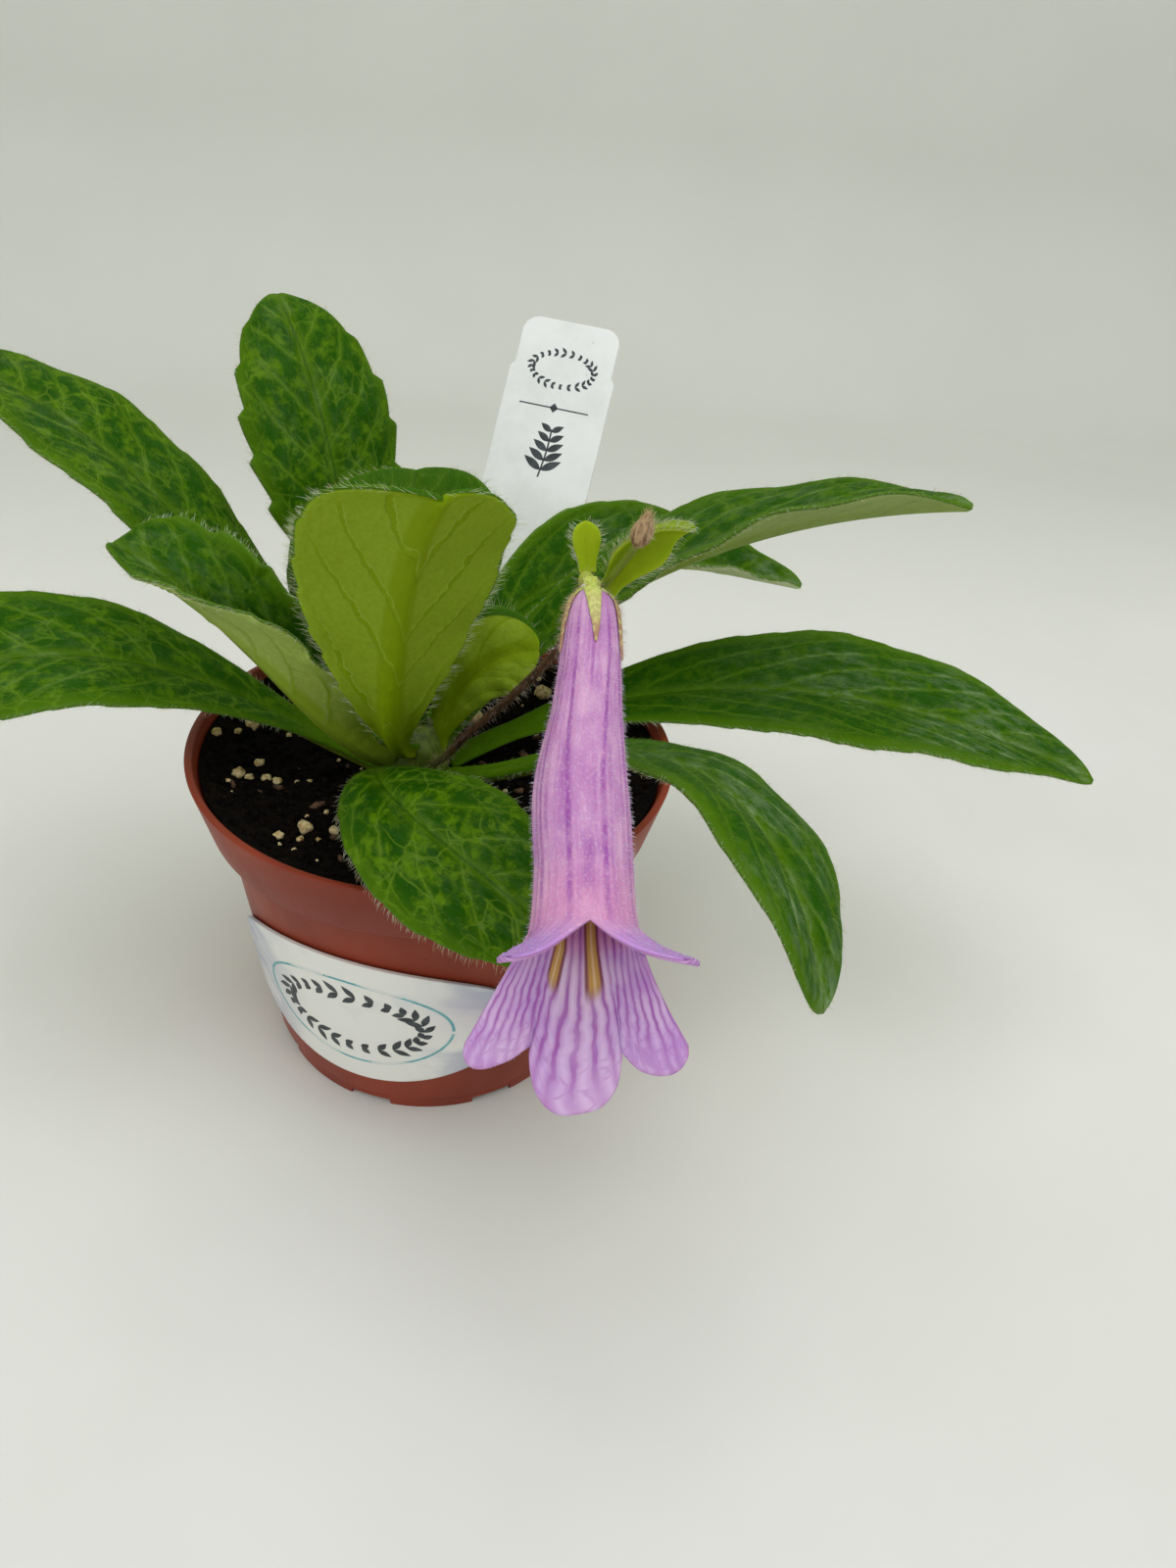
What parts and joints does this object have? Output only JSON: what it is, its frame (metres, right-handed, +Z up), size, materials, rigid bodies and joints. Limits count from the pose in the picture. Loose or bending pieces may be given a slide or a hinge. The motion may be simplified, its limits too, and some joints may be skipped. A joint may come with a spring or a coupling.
{
  "type": "potted moonlight primulina",
  "caption": "Potted moonlight primulina, a rosette of long hairy leaves and a hanging lilac bell flower, in a tapered round plastic pot of soil with a stake tag.",
  "frame": {"origin": "middle of the pot's foot, on the surface that the pot stands on", "axes": "+Z up; +Y from the front of the plant, where the flower hangs, to the back, where the tag stands; +X to the right"},
  "size_m": [0.1913, 0.1458, 0.1133],
  "materials": {
    "pot_plastic": "satin",
    "potting_mix": "matte",
    "crown_stem": "satin",
    "leaf": "satin",
    "young_leaf": "satin",
    "stalk": "matte",
    "bract": "satin",
    "calyx": "satin",
    "petal": "satin",
    "pistil": "satin",
    "stamen": "satin",
    "tag_plastic": "satin",
    "label_paper": "satin"
  },
  "bodies": {
    "root": {"pot": "pot_plastic", "soil": "potting_mix", "crown": "crown_stem", "leaf_far_left": "leaf", "leaf_back": "leaf", "leaf_folded_left": "leaf", "leaf_low_left": "leaf", "leaf_right_back": "leaf", "leaf_right_high": "leaf", "leaf_right": "leaf", "leaf_right_low": "leaf", "leaf_front": "leaf", "leaf_young_front": "young_leaf", "leaf_young_back": "young_leaf", "leaf_small": "young_leaf", "flower_stalk": "stalk", "bract_left": "bract", "bract_right": "bract", "side_bud": "bract", "calyx": "calyx", "corolla": "petal", "pistil": "pistil", "stamens": "stamen", "plant_tag": "tag_plastic", "pot_label": "label_paper"}
  },
  "joints": []
}
